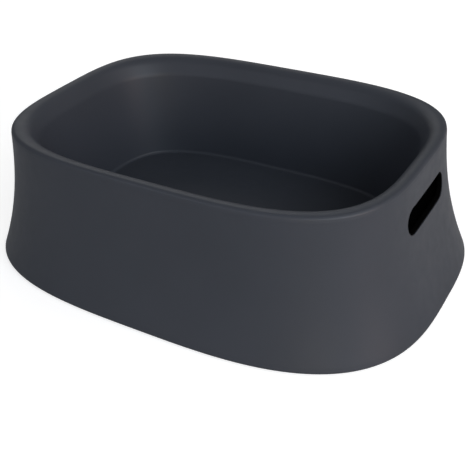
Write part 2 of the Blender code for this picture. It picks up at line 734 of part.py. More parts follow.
def make_waste(finish):
    """The drain's flanged body: a collar, a tapered seat, a ledge for the strainer and a barrel
    with thread ridges."""
    z = NUT_TOP
    profile = [
        (COLLAR_RADIUS - COLLAR_CHAMFER, COLLAR_TOP),
        (COLLAR_RADIUS, COLLAR_TOP - COLLAR_CHAMFER),
        (COLLAR_RADIUS, COLLAR_BOTTOM),
        (BARREL_RADIUS, COLLAR_BOTTOM),
        (BARREL_RADIUS, z),
    ]
    while z - THREAD_PITCH > BARREL_END:
        profile.append((BARREL_RADIUS - THREAD_DEPTH, z - THREAD_PITCH / 2))
        z -= THREAD_PITCH
        profile.append((BARREL_RADIUS, z))
    seat_foot = SEAT_RADIUS - SEAT_TAPER
    ledge = seat_foot - LEDGE_WIDTH
    profile += [
        (BARREL_RADIUS, BARREL_END),
        (ledge, BARREL_END),
        (ledge, STRAINER_BOTTOM - GAP),
        (seat_foot, STRAINER_BOTTOM - GAP),
        (seat_foot, SEAT_BOTTOM),
        (SEAT_RADIUS, COLLAR_TOP),
    ]
    mesh = turned("drain_waste", profile, 24, closed=True)
    waste = add_part("drain_waste", mesh, finish)
    waste.location.x = DRAIN_X
    return waste


def make_strainer(finish):
    """A perforated disc: one hole in the middle and two circles of holes."""
    radius = SEAT_RADIUS - SEAT_TAPER - GAP
    mesh = cylinders("drain_strainer", [(0.0, 0.0)], radius, 0.0, STRAINER_HEIGHT, segments=24)
    strainer = add_part("drain_strainer", smooth(mesh), finish)
    strainer.location = (DRAIN_X, 0.0, STRAINER_BOTTOM)
    places = [(0.0, 0.0)]
    for share, count in STRAINER_CIRCLES:
        for index in range(count):
            angle = 2 * math.pi * index / count
            places.append((radius * share * math.cos(angle), radius * share * math.sin(angle)))
    holes = cylinders(
        "strainer_holes", places, STRAINER_HOLE_RADIUS, -MM, STRAINER_HEIGHT + MM, segments=6
    )
    tool = add_cutter("strainer_holes", holes)
    tool.location = strainer.location
    boolean(strainer, tool, "DIFFERENCE")


def make_locknut(finish):
    radius = BARREL_RADIUS + NUT_WALL
    section = ring_section(BARREL_RADIUS + GAP, radius, 0.0, NUT_HEIGHT)
    nut = add_part("drain_locknut", turned("drain_locknut", section, 24, closed=True), finish)
    nut.location = (DRAIN_X, 0.0, NUT_TOP - NUT_HEIGHT)
    size = (LUG_REACH * 2, LUG_WIDTH, LUG_HEIGHT)
    middle = (radius, 0, NUT_HEIGHT / 2)
    lugs = [(size, middle, 2 * math.pi * index / NUT_LUGS) for index in range(NUT_LUGS)]
    tool = add_cutter("nut_lugs", boxes("nut_lugs", lugs))
    tool.location = nut.location
    boolean(nut, tool, "UNION")


def make_stopper(finish):
    """A rubber plug that rests on the collar and fills the tapered seat, bored for the eye's
    stem."""
    fit = 2 * GAP
    seat_slope = SEAT_TAPER / SEAT_DEPTH
    plug_top = SEAT_RADIUS - fit
    plug_foot = plug_top - seat_slope * STOPPER_PLUG_HEIGHT
    plug_bottom = STOPPER_BOTTOM - STOPPER_PLUG_HEIGHT
    bore = EYE_STEM_RADIUS + GAP
    bore_bottom = STOPPER_TOP - EYE_STEM_LENGTH - GAP
    profile = [
        (bore, STOPPER_TOP),
        (STOPPER_FLANGE_RADIUS - STOPPER_CHAMFER, STOPPER_TOP),
        (STOPPER_FLANGE_RADIUS, STOPPER_TOP - STOPPER_CHAMFER),
        (STOPPER_FLANGE_RADIUS, STOPPER_BOTTOM),
        (plug_top, STOPPER_BOTTOM),
        (plug_foot, plug_bottom + STOPPER_CHAMFER),
        (plug_foot - STOPPER_CHAMFER, plug_bottom),
        (0.0, plug_bottom),
        (0.0, bore_bottom),
        (bore, bore_bottom),
    ]
    mesh = turned("drain_stopper", profile, 24, closed=True)
    stopper = add_part("drain_stopper", mesh, finish)
    stopper.location.x = DRAIN_X
    return stopper


def make_eye(finish):
    """A flat eye on a stem, pressed into the stopper. Its hole runs across the tub."""
    low = STOPPER_TOP + GAP
    size = (EYE_WIDTH, EYE_THICKNESS, EYE_HEIGHT)
    mesh = boxes("stopper_eye", [(size, (0, 0, low + EYE_HEIGHT / 2), 0.0)])
    eye = add_part("stopper_eye", mesh, finish)
    eye.location.x = DRAIN_X
    stem_bottom = STOPPER_TOP - EYE_STEM_LENGTH
    stem = cylinders("eye_stem", [(0.0, 0.0)], EYE_STEM_RADIUS, stem_bottom, low + MM / 2)
    stem_tool = add_cutter("eye_stem", stem)
    stem_tool.location = eye.location
    boolean(eye, stem_tool, "UNION")
    hole = cylinders("eye_hole", [(0.0, 0.0)], EYE_HOLE_RADIUS, -EYE_THICKNESS, EYE_THICKNESS)
    hole_tool = add_cutter("eye_hole", hole)
    hole_tool.location = (DRAIN_X, 0.0, RING_Z + GAP)
    hole_tool.rotation_euler.x = math.pi / 2
    boolean(eye, hole_tool, "DIFFERENCE")


def make_ring(finish):
    """The pull ring, lying flat towards the near end. Its origin is on its hinge line, through
    the eye."""
    bpy.ops.mesh.primitive_torus_add(
        major_radius=RING_RADIUS, minor_radius=RING_WIRE, major_segments=24, minor_segments=6
    )
    ring = bpy.context.active_object
    ring.name = "pull_ring"
    for collection in list(ring.users_collection):
        collection.objects.unlink(ring)
    PARTS.objects.link(ring)
    ring.data.transform(Matrix.Translation((RING_RADIUS, 0.0, 0.0)))
    ring.data.materials.append(finish)
    ring.data.shade_smooth()
    ring.location = (DRAIN_X, 0.0, RING_Z)


PARTS, CUTTERS = clear_scene()

shell = material("shell_plastic", SHELL_GREY, 0.32)
panel_plastic = material("panel_plastic", PANEL_GREY, 0.55)
cup_plastic = material("cup_plastic", BLACK, 0.7)
rubber = material("rubber", RUBBER_BLACK, 0.85)
steel = material("steel", STEEL, 0.28, metallic=1.0)
fitting = material("fitting_plastic", PANEL_GREY, 0.45)

make_basin(shell)
make_skirt(shell)
make_cup(cup_plastic)
make_panel(panel_plastic)
make_screws(steel)
make_feet(rubber)
make_drain_seals(rubber)
make_waste(steel)
make_strainer(steel)
make_locknut(fitting)
make_stopper(rubber)
make_eye(steel)
make_ring(steel)
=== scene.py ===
"""Looks for the pet bathtub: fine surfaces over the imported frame, procedural materials, a pale
studio and a camera. Metres, in the frame's own axes: +X along the tub, +Y across it, +Z up.
"""

import json
import math

import bmesh
import bpy
from mathutils import Matrix, Vector

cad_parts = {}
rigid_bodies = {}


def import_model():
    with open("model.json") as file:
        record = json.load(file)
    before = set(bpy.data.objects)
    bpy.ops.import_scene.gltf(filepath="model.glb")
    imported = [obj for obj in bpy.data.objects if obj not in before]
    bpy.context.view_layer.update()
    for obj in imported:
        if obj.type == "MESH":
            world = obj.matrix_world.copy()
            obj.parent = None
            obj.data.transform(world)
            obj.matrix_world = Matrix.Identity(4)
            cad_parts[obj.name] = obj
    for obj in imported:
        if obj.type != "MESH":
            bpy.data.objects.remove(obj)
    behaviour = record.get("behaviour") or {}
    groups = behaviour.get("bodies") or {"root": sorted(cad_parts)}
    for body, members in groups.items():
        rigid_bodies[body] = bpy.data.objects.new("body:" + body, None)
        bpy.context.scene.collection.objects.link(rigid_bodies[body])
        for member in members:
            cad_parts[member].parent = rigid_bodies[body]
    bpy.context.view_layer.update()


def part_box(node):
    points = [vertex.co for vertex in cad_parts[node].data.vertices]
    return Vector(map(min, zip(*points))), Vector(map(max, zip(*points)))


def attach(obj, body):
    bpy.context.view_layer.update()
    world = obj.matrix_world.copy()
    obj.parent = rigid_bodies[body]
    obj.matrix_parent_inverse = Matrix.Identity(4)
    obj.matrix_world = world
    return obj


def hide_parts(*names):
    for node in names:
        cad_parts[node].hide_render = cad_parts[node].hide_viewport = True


for old in list(bpy.data.objects):
    bpy.data.objects.remove(old, do_unlink=True)
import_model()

MM = 0.001
GAP = 0.3 * MM  # between the frame's own pieces

# Sizes that the frame holds
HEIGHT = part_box("inner_basin")[1].z
SKIN_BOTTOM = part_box("outer_skirt")[0].z
PANEL_LOW, PANEL_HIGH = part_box("base_panel")
WASTE_LOW, WASTE_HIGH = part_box("drain_waste")
CUP_LOW, CUP_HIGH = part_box("handle_cup_right")
DRAIN_X = (WASTE_LOW.x + WASTE_HIGH.x) / 2

# The plan outline and flare, as the frame's shells have them
RIM_LENGTH = 620.0 * MM
RIM_WIDTH = 446.0 * MM
FOOT_LENGTH = 725.0 * MM
FOOT_WIDTH = 535.0 * MM
RIM_POWER = 3.54
BASIN_POWER = 3.4
FOOT_POWER = 3.15
FLARE_POWER = 2.35
FLARE_STRAIGHT = 0.28
OUTLINE_POINTS = 200
CORNER_CROWDING = 0.8

# Walls, rim and basin, as the frame's shells have them
WALL = 3.5 * MM
DRAFT = math.radians(8.5)
EDGE_RADIUS = 5.0 * MM
LIP_DEPTH = 10.0 * MM
SHOULDER_START = 6.5 * MM
SHOULDER_RADIUS = 18.0 * MM
SHOULDER_SLOPE = math.radians(65.0)
SHOULDER_DEPTH = 26.5 * MM
CREASE_RADIUS = 30.0 * MM
FLOOR_HEIGHT = 46.0 * MM
FLOOR_RADIUS = 6.0 * MM
FLANGE_WIDTH = 24.0 * MM
LAP_TOP_GAP = 1.0 * MM
SEAM = 0.06 * MM  # the bonded joint's hairline, under the rim

# Hand slots and their cups
SLOT_LENGTH = 143.0 * MM
SLOT_HEIGHT = 40.0 * MM
SLOT_Z = (CUP_LOW.z + CUP_HIGH.z) / 2
CUP_WALL = 2.5 * MM
NECK_RECESS = 0.8 * MM
CUP_CLEARANCE = 0.5 * MM

# Screws
SUPPORT_SCREWS = [f"support_screw_{number}" for number in range(1, 7)]
EDGE_SCREWS = [f"edge_screw_{number}" for number in range(1, 9)]
SCREW_HEAD_DEPTH = 2.4 * MM
SCREW_HOLE_RADIUS = 2.1 * MM
SHANK_RADIUS = 1.6 * MM
SHANK_ROOT = 0.8  # the thread's root and the plain stretch, of the shank's radius
SHANK_TIP = 0.3  # the blunt tip, of the shank's radius
SHANK_PITCH = 1.2 * MM
SOCKET_SIZE = 0.45  # of the head's radius
SOCKET_FLOOR = 0.4  # what is left behind the socket, of the head's depth
COUNTERSINK_MARGIN = 0.9 * MM  # round the head, where the cutting cone starts
COUNTERSINK_START = 0.4 * MM  # below the skirt

# Base panel
PANEL_WALL = 3.5 * MM
PANEL_LOWER_BEVEL = 0.8 * MM
PANEL_UPPER_BEVEL = 0.5 * MM
CONE_TOP_RADIUS = 16.0 * MM
CONE_FOOT_RADIUS = 30.0 * MM
STEM_HOLE_RADIUS = 4.3 * MM
OUTLET_RADIUS = 26.0 * MM
BOSS_RADIUS = 5.0 * MM
BOSS_RISE = 2.5 * MM  # over the screw's tip
BOSS_ROOF = 1.5 * MM  # what closes a boss over its pilot hole
PILOT_RADIUS = 1.9 * MM

# Feet
FEET = [f"foot_{end}_{side}" for end in ("left", "right", "middle") for side in ("front", "back")]
STEM_RADIUS = 4.0 * MM
BARB_RADIUS = 5.4 * MM
BARB_TIP = 0.6  # of the barb's radius
GROOVE_RADII = (13.5 * MM, 8.0 * MM)
GROOVE_WIDTH = 2.0 * MM
GROOVE_DEPTH = 1.0 * MM

# Drain recess
DISH_RADIUS = 70.0 * MM
DISH_FALL = 2.0 * MM
DISH_CURVE = 9.0 * MM  # how far the slope eases in and out
RECESS_RADIUS = 42.0 * MM
RECESS_DEPTH = 12.0 * MM
RECESS_DRAFT = math.radians(10.0)
RECESS_CORNER = 3.0 * MM
RECESS_FLOOR = FLOOR_HEIGHT - DISH_FALL - RECESS_DEPTH
DRAIN_HOLE_RADIUS = 22.6 * MM

# Drain: waste, strainer and locknut
COLLAR_DEPTH = 3.0 * MM
BARREL_RADIUS = 22.0 * MM
BARREL_THREAD_DEPTH = 0.7 * MM
BARREL_PITCH = 2.0 * MM
SEAT_RADIUS = 21.0 * MM
SEAT_FOOT_RADIUS = 18.9 * MM
SEAT_DEPTH = 12.0 * MM
LEDGE_RADIUS = 15.9 * MM
STRAINER_RINGS = ((0.26, 6), (0.52, 12), (0.78, 18))  # a share of the radius, and how many holes
STRAINER_HOLE_RADIUS = 1.6 * MM
NUT_BORE_RADIUS = 22.3 * MM
LUG_COUNT = 6
LUG_REACH = 3.0 * MM
LUG_WIDTH = 9.0 * MM

# Stopper, eye and ring
STOPPER_FLANGE_DEPTH = 2.5 * MM
PLUG_TOP_RADIUS = 20.4 * MM
PLUG_FOOT_RADIUS = 18.65 * MM
PLUG_STEP_IN = 0.45 * MM
PLUG_STEP_DOWN = 2.6 * MM
EYE_BORE_RADIUS = 2.3 * MM
EYE_BORE_DEPTH = 6.3 * MM
EYE_THICKNESS = 3.0 * MM
EYE_CORNER = 2.2 * MM
EYE_STEM_RADIUS = 2.0 * MM
EYE_HOLE_RADIUS = 1.6 * MM
RING_WIRE = 1.0 * MM

# Studio: the floor also glows, for the eye only, so that it stays white round the tub
FLOOR_REACH = 12.0
FLOOR_GREY = 0.54
FLOOR_WHITE = 0.68
WORLD_LIGHT = 0.25
WORLD_WHITE = 0.92
LIGHT_TARGET = (0.0, 0.0, 0.1)

# Camera: where it stands round the middle of the tub, and how it is aimed off that
CAMERA_AZIMUTH = math.radians(31.50)
CAMERA_ELEVATION = math.radians(29.24)
CAMERA_DISTANCE = 1.2554
CAMERA_TURN = math.radians(-0.58)
CAMERA_DIP = math.radians(4.03)
CAMERA_ROLL = math.radians(-2.14)
CAMERA_LENS = 60.6
CAMERA_SENSOR = 36.0


# ---------------------------------------------------------------- helpers


def link(made, body, replaced):
    """Puts a piece in the scene on its body, in place of the CAD node that it stands for."""
    bpy.context.scene.collection.objects.link(made)
    bpy.context.view_layer.update()
    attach(made, body)
    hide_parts(replaced)
    return made


def piece(name, mesh, finish, body, replaced, place=(0.0, 0.0, 0.0)):
    """A piece in place of one CAD node. Pieces may share a mesh."""
    made = bpy.data.objects.new(name, mesh)
    made.location = place
    if not mesh.materials:
        mesh.materials.append(finish)
    return link(made, body, replaced)


def helper(mesh):
    """An object that a modifier works on or reads. It is removed once its piece is made."""
    made = bpy.data.objects.new(mesh.name, mesh)
    bpy.context.scene.collection.objects.link(made)
    return made


def boolean(target, tool, operation):
    modifier = target.modifiers.new(tool.name, "BOOLEAN")
    modifier.operation = operation
    modifier.solver = "EXACT"
    modifier.object = tool


def baked(source, name, *tools):
    """The mesh that source's modifiers make. It takes the place of source and the tools."""
    bpy.context.view_layer.update()
    graph = bpy.context.evaluated_depsgraph_get()
    mesh = bpy.data.meshes.new_from_object(source.evaluated_get(graph))
    mesh.name = name
    mesh.materials.clear()
    for used in (source, *tools):
        bpy.data.objects.remove(used, do_unlink=True)
    return mesh


def node_centre(node):
    low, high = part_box(node)
    return (low + high) / 2


def places_of(nodes):
    """Where these nodes stand, seen from above."""
    return [tuple(node_centre(node).xy) for node in nodes]


def radius_of(node):
    low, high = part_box(node)
    return (high.x - low.x) / 2


def smooth(mesh, angle):
    """Shades a mesh smooth, with sharp edges where it bends more than this many degrees."""
    mesh.shade_smooth()
    mesh.set_sharp_from_angle(angle=math.radians(angle))
    return mesh


def between(first, last, share):
    """The point this share of the way from one point to another."""
    return (first[0] + (last[0] - first[0]) * share, first[1] + (last[1] - first[1]) * share)


def arc(centre, radius, start, end, steps):
    """Points of an arc in the plane, between two angles in degrees."""
    points = []
    for step in range(steps + 1):
        angle = math.radians(start + (end - start) * step / steps)
        points.append((centre[0] + radius * math.cos(angle), centre[1] + radius * math.sin(angle)))
    return points


def bezier(first, handle_a, handle_b, last, steps):
    """Points of a cubic curve, its first point left out."""
    a, b, c, d = (Vector(point) for point in (first, handle_a, handle_b, last))
    points = []
    for step in range(1, steps + 1):
        t = step / steps
        point = a * (1 - t) ** 3 + b * 3 * t * (1 - t) ** 2 + c * 3 * t * t * (1 - t) + d * t**3
        points.append(tuple(point))
    return points


# ---------------------------------------------------------------- outlines and lofts


def outline_point(half_length, half_width, power, angle, z):
    """A point of a superellipse, drawn a little towards the nearest corner."""
    x = math.copysign(abs(math.cos(angle)) ** CORNER_CROWDING, math.cos(angle))
    y = math.copysign(abs(math.sin(angle)) ** CORNER_CROWDING, math.sin(angle))
    reach = (abs(x) ** power + abs(y) ** power) ** (-1 / power)
    return Vector((half_length * reach * x, half_width * reach * y, z))


def superellipse(half_length, half_width, power, z):
    ring = []
    for index in range(OUTLINE_POINTS):
        angle = 2 * math.pi * index / OUTLINE_POINTS
        ring.append(outline_point(half_length, half_width, power, angle, z))
    return ring


def circle(centre_x, radius, z):
    ring = []
    for index in range(OUTLINE_POINTS):
        angle = 2 * math.pi * index / OUTLINE_POINTS
        ring.append(Vector((centre_x + radius * math.cos(angle), radius * math.sin(angle), z)))
    return ring


def flare(z):
    """How far the side has swept out at this height: 0 at the rim, 1 at the foot."""
    depth = min(1.0, max(0.0, (HEIGHT - z) / (HEIGHT - SKIN_BOTTOM)))
    return FLARE_STRAIGHT * depth + (1 - FLARE_STRAIGHT) * depth**FLARE_POWER


def skin_ring(z, inset):
    """A ring of the outer skin's surface at this height, or inside it by an inset."""
    share = flare(z)
    length = RIM_LENGTH + (FOOT_LENGTH - RIM_LENGTH) * share
    width = RIM_WIDTH + (FOOT_WIDTH - RIM_WIDTH) * share
    power = RIM_POWER + (FOOT_POWER - RIM_POWER) * share
    return superellipse(length / 2 - inset, width / 2 - inset, power, z)


def rim_ring(inset, z, power=RIM_POWER):
    return superellipse(RIM_LENGTH / 2 - inset, RIM_WIDTH / 2 - inset, power, z)


def basin_ring(inset, z):
    """A ring of the basin's surface, whose outline grows rounder over the rim."""
    share = min(1.0, inset / (SHOULDER_START + SHOULDER_RADIUS))
    return rim_ring(inset, z, RIM_POWER + (BASIN_POWER - RIM_POWER) * share)


def foot_ring(inset, z):
    return superellipse(FOOT_LENGTH / 2 - inset, FOOT_WIDTH / 2 - inset, FOOT_POWER, z)


def loft(name, rings, capped=False):
    """A surface through a row of rings, closed at both ends if it is capped."""
    mesh = bpy.data.meshes.new(name)
    shape = bmesh.new()
    rows = [[shape.verts.new(point) for point in ring] for ring in rings]
    for lower, upper in zip(rows, rows[1:]):
        for index in range(len(lower)):
            after = (index + 1) % len(lower)
            shape.faces.new((lower[index], lower[after], upper[after], upper[index]))
    if capped:
        shape.faces.new(list(reversed(rows[0])))
        shape.faces.new(rows[-1])
    shape.to_mesh(mesh)
    shape.free()
    return mesh


def solidify(target, thickness):
    """Gives a surface its wall, on the hidden side."""
    modifier = target.modifiers.new("wall", "SOLIDIFY")
    modifier.thickness = thickness
    modifier.offset = -1.0
    modifier.use_even_offset = True
    modifier.use_quality_normals = True


def skin_block(name, inset, low, high):
    """A solid block inside the outer skin's surface, between two heights."""
    rows = 14
    rings = [skin_ring(low + (high - low) * row / rows, inset) for row in range(rows + 1)]
    return helper(loft(name, rings, capped=True))


# ---------------------------------------------------------------- simple solids


def cylinders(name, places, radius, low, high, segments=48, top_radius=None):
    """Upright cylinders in one mesh, or cones where there is a top radius."""
    mesh = bpy.data.meshes.new(name)
    shape = bmesh.new()
    for x, y in places:
        bmesh.ops.create_cone(
            shape,
            cap_ends=True,
            segments=segments,
            radius1=radius,
            radius2=radius if top_radius is None else top_radius,
            depth=high - low,
            matrix=Matrix.Translation((x, y, (low + high) / 2)),
        )
    shape.to_mesh(mesh)
    shape.free()
    return mesh


def stadium_prism(name, length, height, centre_z, low_x, high_x, steps=24):
    """A slot shape with round ends, across the tub, extruded along X."""
    radius = height / 2
    reach = length / 2 - radius
    outline = arc((reach, centre_z), radius, -90, 90, steps)
    outline += arc((-reach, centre_z), radius, 90, 270, steps)
    mesh = bpy.data.meshes.new(name)
    shape = bmesh.new()
    face = shape.faces.new([shape.verts.new((low_x, y, z)) for y, z in outline])
    grown = bmesh.ops.extrude_face_region(shape, geom=[face])
    moved = [item for item in grown["geom"] if isinstance(item, bmesh.types.BMVert)]
    bmesh.ops.translate(shape, verts=moved, vec=(high_x - low_x, 0, 0))
    bmesh.ops.recalc_face_normals(shape, faces=shape.faces)
    shape.to_mesh(mesh)
    shape.free()
    return mesh


def ridges(crest, root, top, bottom, pitch):
    """A thread as a row of ridges below its top crest, as (radius, z)."""
    points = []
    z = top
    while z - pitch > bottom:
        points.append((root, z - pitch / 2))
        z -= pitch
        points.append((crest, z))
    return points


def turned(name, profile, closed, steps=64, angle=35.0):
    """A mesh spun about Z from (radius, z) points that run down the outer side."""
    mesh = bpy.data.meshes.new(name)
    last = len(profile) - 1
    edges = [(index, index + 1) for index in range(last)]
    if closed:
        edges.append((last, 0))
    mesh.from_pydata([(radius, 0.0, z) for radius, z in profile], edges, [])
    spun = helper(mesh)
    screw = spun.modifiers.new("spin", "SCREW")
    screw.axis = "Z"
    screw.steps = steps
    screw.render_steps = steps
    screw.use_merge_vertices = True
    screw.merge_threshold = 0.00001
    return smooth(baked(spun, name), angle)


def rounded_ring(inner, outer, height, edge):
    """A ring's section with round edges, standing on z = 0, outer side first."""
    steps = 4
    points = arc((outer - edge, height - edge), edge, 90, 0, steps)
    points += arc((outer - edge, edge), edge, 0, -90, steps)
    points += arc((inner + edge, edge), edge, 270, 180, steps)
    points += arc((inner + edge, height - edge), edge, 180, 90, steps)
    return points


# ---------------------------------------------------------------- materials


NOISE_LOW, NOISE_HIGH = 0.3, 0.7  # where most of a noise's values lie


def new_material(name, colour, roughness, metallic=0.0):
    made = bpy.data.materials.new(name)
    made.use_nodes = True
    shader = made.node_tree.nodes["Principled BSDF"]
    shader.inputs["Base Color"].default_value = (*colour, 1.0)
    shader.inputs["Roughness"].default_value = roughness
    shader.inputs["Metallic"].default_value = metallic
    return made, shader


def add_noise(material, scale, detail, stretch=(1.0, 1.0, 1.0)):
    """A noise in the object's own axes."""
    nodes, links = material.node_tree.nodes, material.node_tree.links
    place = nodes.new("ShaderNodeTexCoord")
    mapping = nodes.new("ShaderNodeMapping")
    mapping.inputs["Scale"].default_value = stretch
    noise = nodes.new("ShaderNodeTexNoise")
    noise.inputs["Scale"].default_value = scale
    noise.inputs["Detail"].default_value = detail
    links.new(place.outputs["Object"], mapping.inputs["Vector"])
    links.new(mapping.outputs["Vector"], noise.inputs["Vector"])
    return noise.outputs["Fac"]


def vary(material, target, source, low, high):
    """Drives a number on the shader from a noise, between two values."""
    nodes, links = material.node_tree.nodes, material.node_tree.links
    remap = nodes.new("ShaderNodeMapRange")
    remap.inputs["From Min"].default_value = NOISE_LOW
    remap.inputs["From Max"].default_value = NOISE_HIGH
    remap.inputs["To Min"].default_value = low
    remap.inputs["To Max"].default_value = high
    links.new(source, remap.inputs["Value"])
    links.new(remap.outputs["Result"], target)


def tint(material, shader, source, dark, light):
    """Mixes the base colour from a noise, between two colours."""
    nodes, links = material.node_tree.nodes, material.node_tree.links
    ramp = nodes.new("ShaderNodeValToRGB")
    ramp.color_ramp.elements[0].position = NOISE_LOW
    ramp.color_ramp.elements[0].color = (*dark, 1.0)
    ramp.color_ramp.elements[1].position = NOISE_HIGH
    ramp.color_ramp.elements[1].color = (*light, 1.0)
    links.new(source, ramp.inputs["Fac"])
    links.new(ramp.outputs["Color"], shader.inputs["Base Color"])


def bump(material, shader, source, strength, depth):
    nodes, links = material.node_tree.nodes, material.node_tree.links
    made = nodes.new("ShaderNodeBump")
    made.inputs["Strength"].default_value = strength
    made.inputs["Distance"].default_value = depth
    links.new(source, made.inputs["Height"])
    links.new(made.outputs["Normal"], shader.inputs["Normal"])


def shell_plastic():
    """Satin moulded plastic, slate grey: cloudy in colour by a hair, with a fine moulding skin."""
    made, shader = new_material("shell_plastic_look", (0.036, 0.040, 0.050), 0.45)
    shader.inputs["Specular IOR Level"].default_value = 0.2
    tint(made, shader, add_noise(made, 9.0, 3.0), (0.0345, 0.0385, 0.0480), (0.0375, 0.0415, 0.0520))
    vary(made, shader.inputs["Roughness"], add_noise(made, 60.0, 4.0), 0.39, 0.46)
    bump(made, shader, add_noise(made, 900.0, 2.0), 0.10, 0.04 * MM)
    return made


def panel_plastic():
    made, shader = new_material("panel_plastic_look", (0.018, 0.019, 0.021), 0.55)
    tint(made, shader, add_noise(made, 14.0, 4.0), (0.015, 0.016, 0.018), (0.021, 0.022, 0.024))
    vary(made, shader.inputs["Roughness"], add_noise(made, 90.0, 3.0), 0.48, 0.66)
    bump(made, shader, add_noise(made, 1400.0, 3.0), 0.35, 0.12 * MM)
    return made


# Black plastic, made far darker than real black plastic and with almost no reflection: partly the cup's
# own colour and partly painted shade, so that the hollow behind the slot shows as deep shadow.
def cup_painted_shade_plastic():
    made, shader = new_material("cup_painted_shade_look", (0.0006, 0.0006, 0.0007), 0.9)
    shader.inputs["Specular IOR Level"].default_value = 0.02
    tint(made, shader, add_noise(made, 40.0, 2.0), (0.0004, 0.0004, 0.0005), (0.0008, 0.0008, 0.0009))
    bump(made, shader, add_noise(made, 1500.0, 2.0), 0.3, 0.1 * MM)
    return made


def rubber(name, level):
    made, shader = new_material(name, (level, level, level), 0.8)
    tint(made, shader, add_noise(made, 120.0, 4.0), (level * 0.8,) * 3, (level * 1.25,) * 3)
    vary(made, shader.inputs["Roughness"], add_noise(made, 200.0, 3.0), 0.62, 0.88)
    bump(made, shader, add_noise(made, 2200.0, 2.0), 0.3, 0.08 * MM)
    return made


def turned_steel():
    """Stainless steel with faint rings from turning, a little uneven in gloss."""
    made, shader = new_material("turned_steel_look", (0.60, 0.60, 0.61), 0.24, 1.0)
    tint(made, shader, add_noise(made, 70.0, 3.0), (0.55, 0.55, 0.56), (0.66, 0.66, 0.67))
    vary(made, shader.inputs["Roughness"], add_noise(made, 380.0, 3.0, (1.0, 1.0, 14.0)), 0.18, 0.34)
    bump(made, shader, add_noise(made, 500.0, 2.0, (1.0, 1.0, 30.0)), 0.12, 0.03 * MM)
    return made


def zinc_steel():
    made, shader = new_material("zinc_steel_look", (0.47, 0.47, 0.48), 0.36, 1.0)
    tint(made, shader, add_noise(made, 300.0, 3.0), (0.40, 0.40, 0.42), (0.56, 0.56, 0.55))
    vary(made, shader.inputs["Roughness"], add_noise(made, 500.0, 3.0), 0.28, 0.46)
    return made


def fitting_plastic():
    made, shader = new_material("fitting_plastic_look", (0.012, 0.012, 0.013), 0.48)
    tint(made, shader, add_noise(made, 60.0, 3.0), (0.010, 0.010, 0.011), (0.015, 0.015, 0.016))
    vary(made, shader.inputs["Roughness"], add_noise(made, 150.0, 3.0), 0.42, 0.56)
    bump(made, shader, add_noise(made, 1300.0, 2.0), 0.25, 0.06 * MM)
    return made


# ---------------------------------------------------------------- shells


def basin_section():
    """The basin's surface from the rim's outer edge to the floor's edge, as (inset, z)."""
    points = arc((EDGE_RADIUS, HEIGHT - EDGE_RADIUS), -EDGE_RADIUS, 0, -90, 10)
    slope = math.degrees(SHOULDER_SLOPE)
    steep = 90 - math.degrees(DRAFT)
    points += arc((SHOULDER_START, HEIGHT - SHOULDER_RADIUS), SHOULDER_RADIUS, 90, 90 - slope, 12)
    slant_start = points[-1]
    crease_z = HEIGHT - SHOULDER_DEPTH
    crease = slant_start[0] + (slant_start[1] - crease_z) / math.tan(SHOULDER_SLOPE)
    reach = CREASE_RADIUS * math.tan(math.radians(steep - slope) / 2)
    above = (crease - reach * math.cos(SHOULDER_SLOPE), crease_z + reach * math.sin(SHOULDER_SLOPE))
    centre = (
        above[0] - CREASE_RADIUS * math.sin(SHOULDER_SLOPE),
        above[1] - CREASE_RADIUS * math.cos(SHOULDER_SLOPE),
    )
    points += arc(centre, CREASE_RADIUS, 90 - slope, 90 - steep, 6)
    wall_top = points[-1]
    bend_start = FLOOR_HEIGHT + FLOOR_RADIUS * (1 - math.sin(DRAFT))
    wall_foot = wall_top[0] + (wall_top[1] - bend_start) * math.tan(DRAFT)
    rows = 8
    points += [between(wall_top, (wall_foot, bend_start), row / rows) for row in range(1, rows)]
    centre = (wall_foot + FLOOR_RADIUS * math.cos(DRAFT), FLOOR_HEIGHT + FLOOR_RADIUS)
    points += arc(centre, FLOOR_RADIUS, 180 + math.degrees(DRAFT), 270, 12)
    return points


def recess_section():
    """The dish in the floor and the drain's recess, from the dish's edge in, as (radius, z)."""
    edge = FLOOR_HEIGHT - DISH_FALL
    lift = 0.2 * MM  # keeps a slight fall right up to the recess
    draft = math.degrees(RECESS_DRAFT)
    points = [(DISH_RADIUS, FLOOR_HEIGHT)]
    points += bezier(
        points[0],
        (DISH_RADIUS - DISH_CURVE, FLOOR_HEIGHT),
        (RECESS_RADIUS + DISH_CURVE, edge + lift),
        (RECESS_RADIUS, edge),
        6,
    )[:-1]
    points += arc((RECESS_RADIUS, edge - EDGE_RADIUS), EDGE_RADIUS, 90, 180 - draft, 8)
    side_top = points[-1]
    bend_start = RECESS_FLOOR + RECESS_CORNER * (1 - math.sin(RECESS_DRAFT))
    side_foot = side_top[0] - (side_top[1] - bend_start) * math.tan(RECESS_DRAFT)
    centre = (side_foot - RECESS_CORNER * math.cos(RECESS_DRAFT), RECESS_FLOOR + RECESS_CORNER)
    points += arc(centre, RECESS_CORNER, -draft, -90, 6)
    points.append((DRAIN_HOLE_RADIUS, RECESS_FLOOR))
    return points


def make_basin(finish):
    """The basin in one skin: a lip over the skirt, the rim, the walls, the floor and the recess."""
    lip_low = HEIGHT - LIP_DEPTH
    lip_high = HEIGHT - EDGE_RADIUS
    rows = 3
    rings = [skin_ring(lip_low + (lip_high - lip_low) * row / rows, 0.0) for row in range(rows)]
    rings += [basin_ring(inset, z) for inset, z in basin_section()]
    rings += [circle(DRAIN_X, radius, z) for radius, z in recess_section()]
    source = helper(loft("basin", rings))
    solidify(source, WALL)
    mesh = smooth(baked(source, "basin_moulding"), 60.0)
    return piece("basin_moulding", mesh, finish, "tub", "inner_basin")


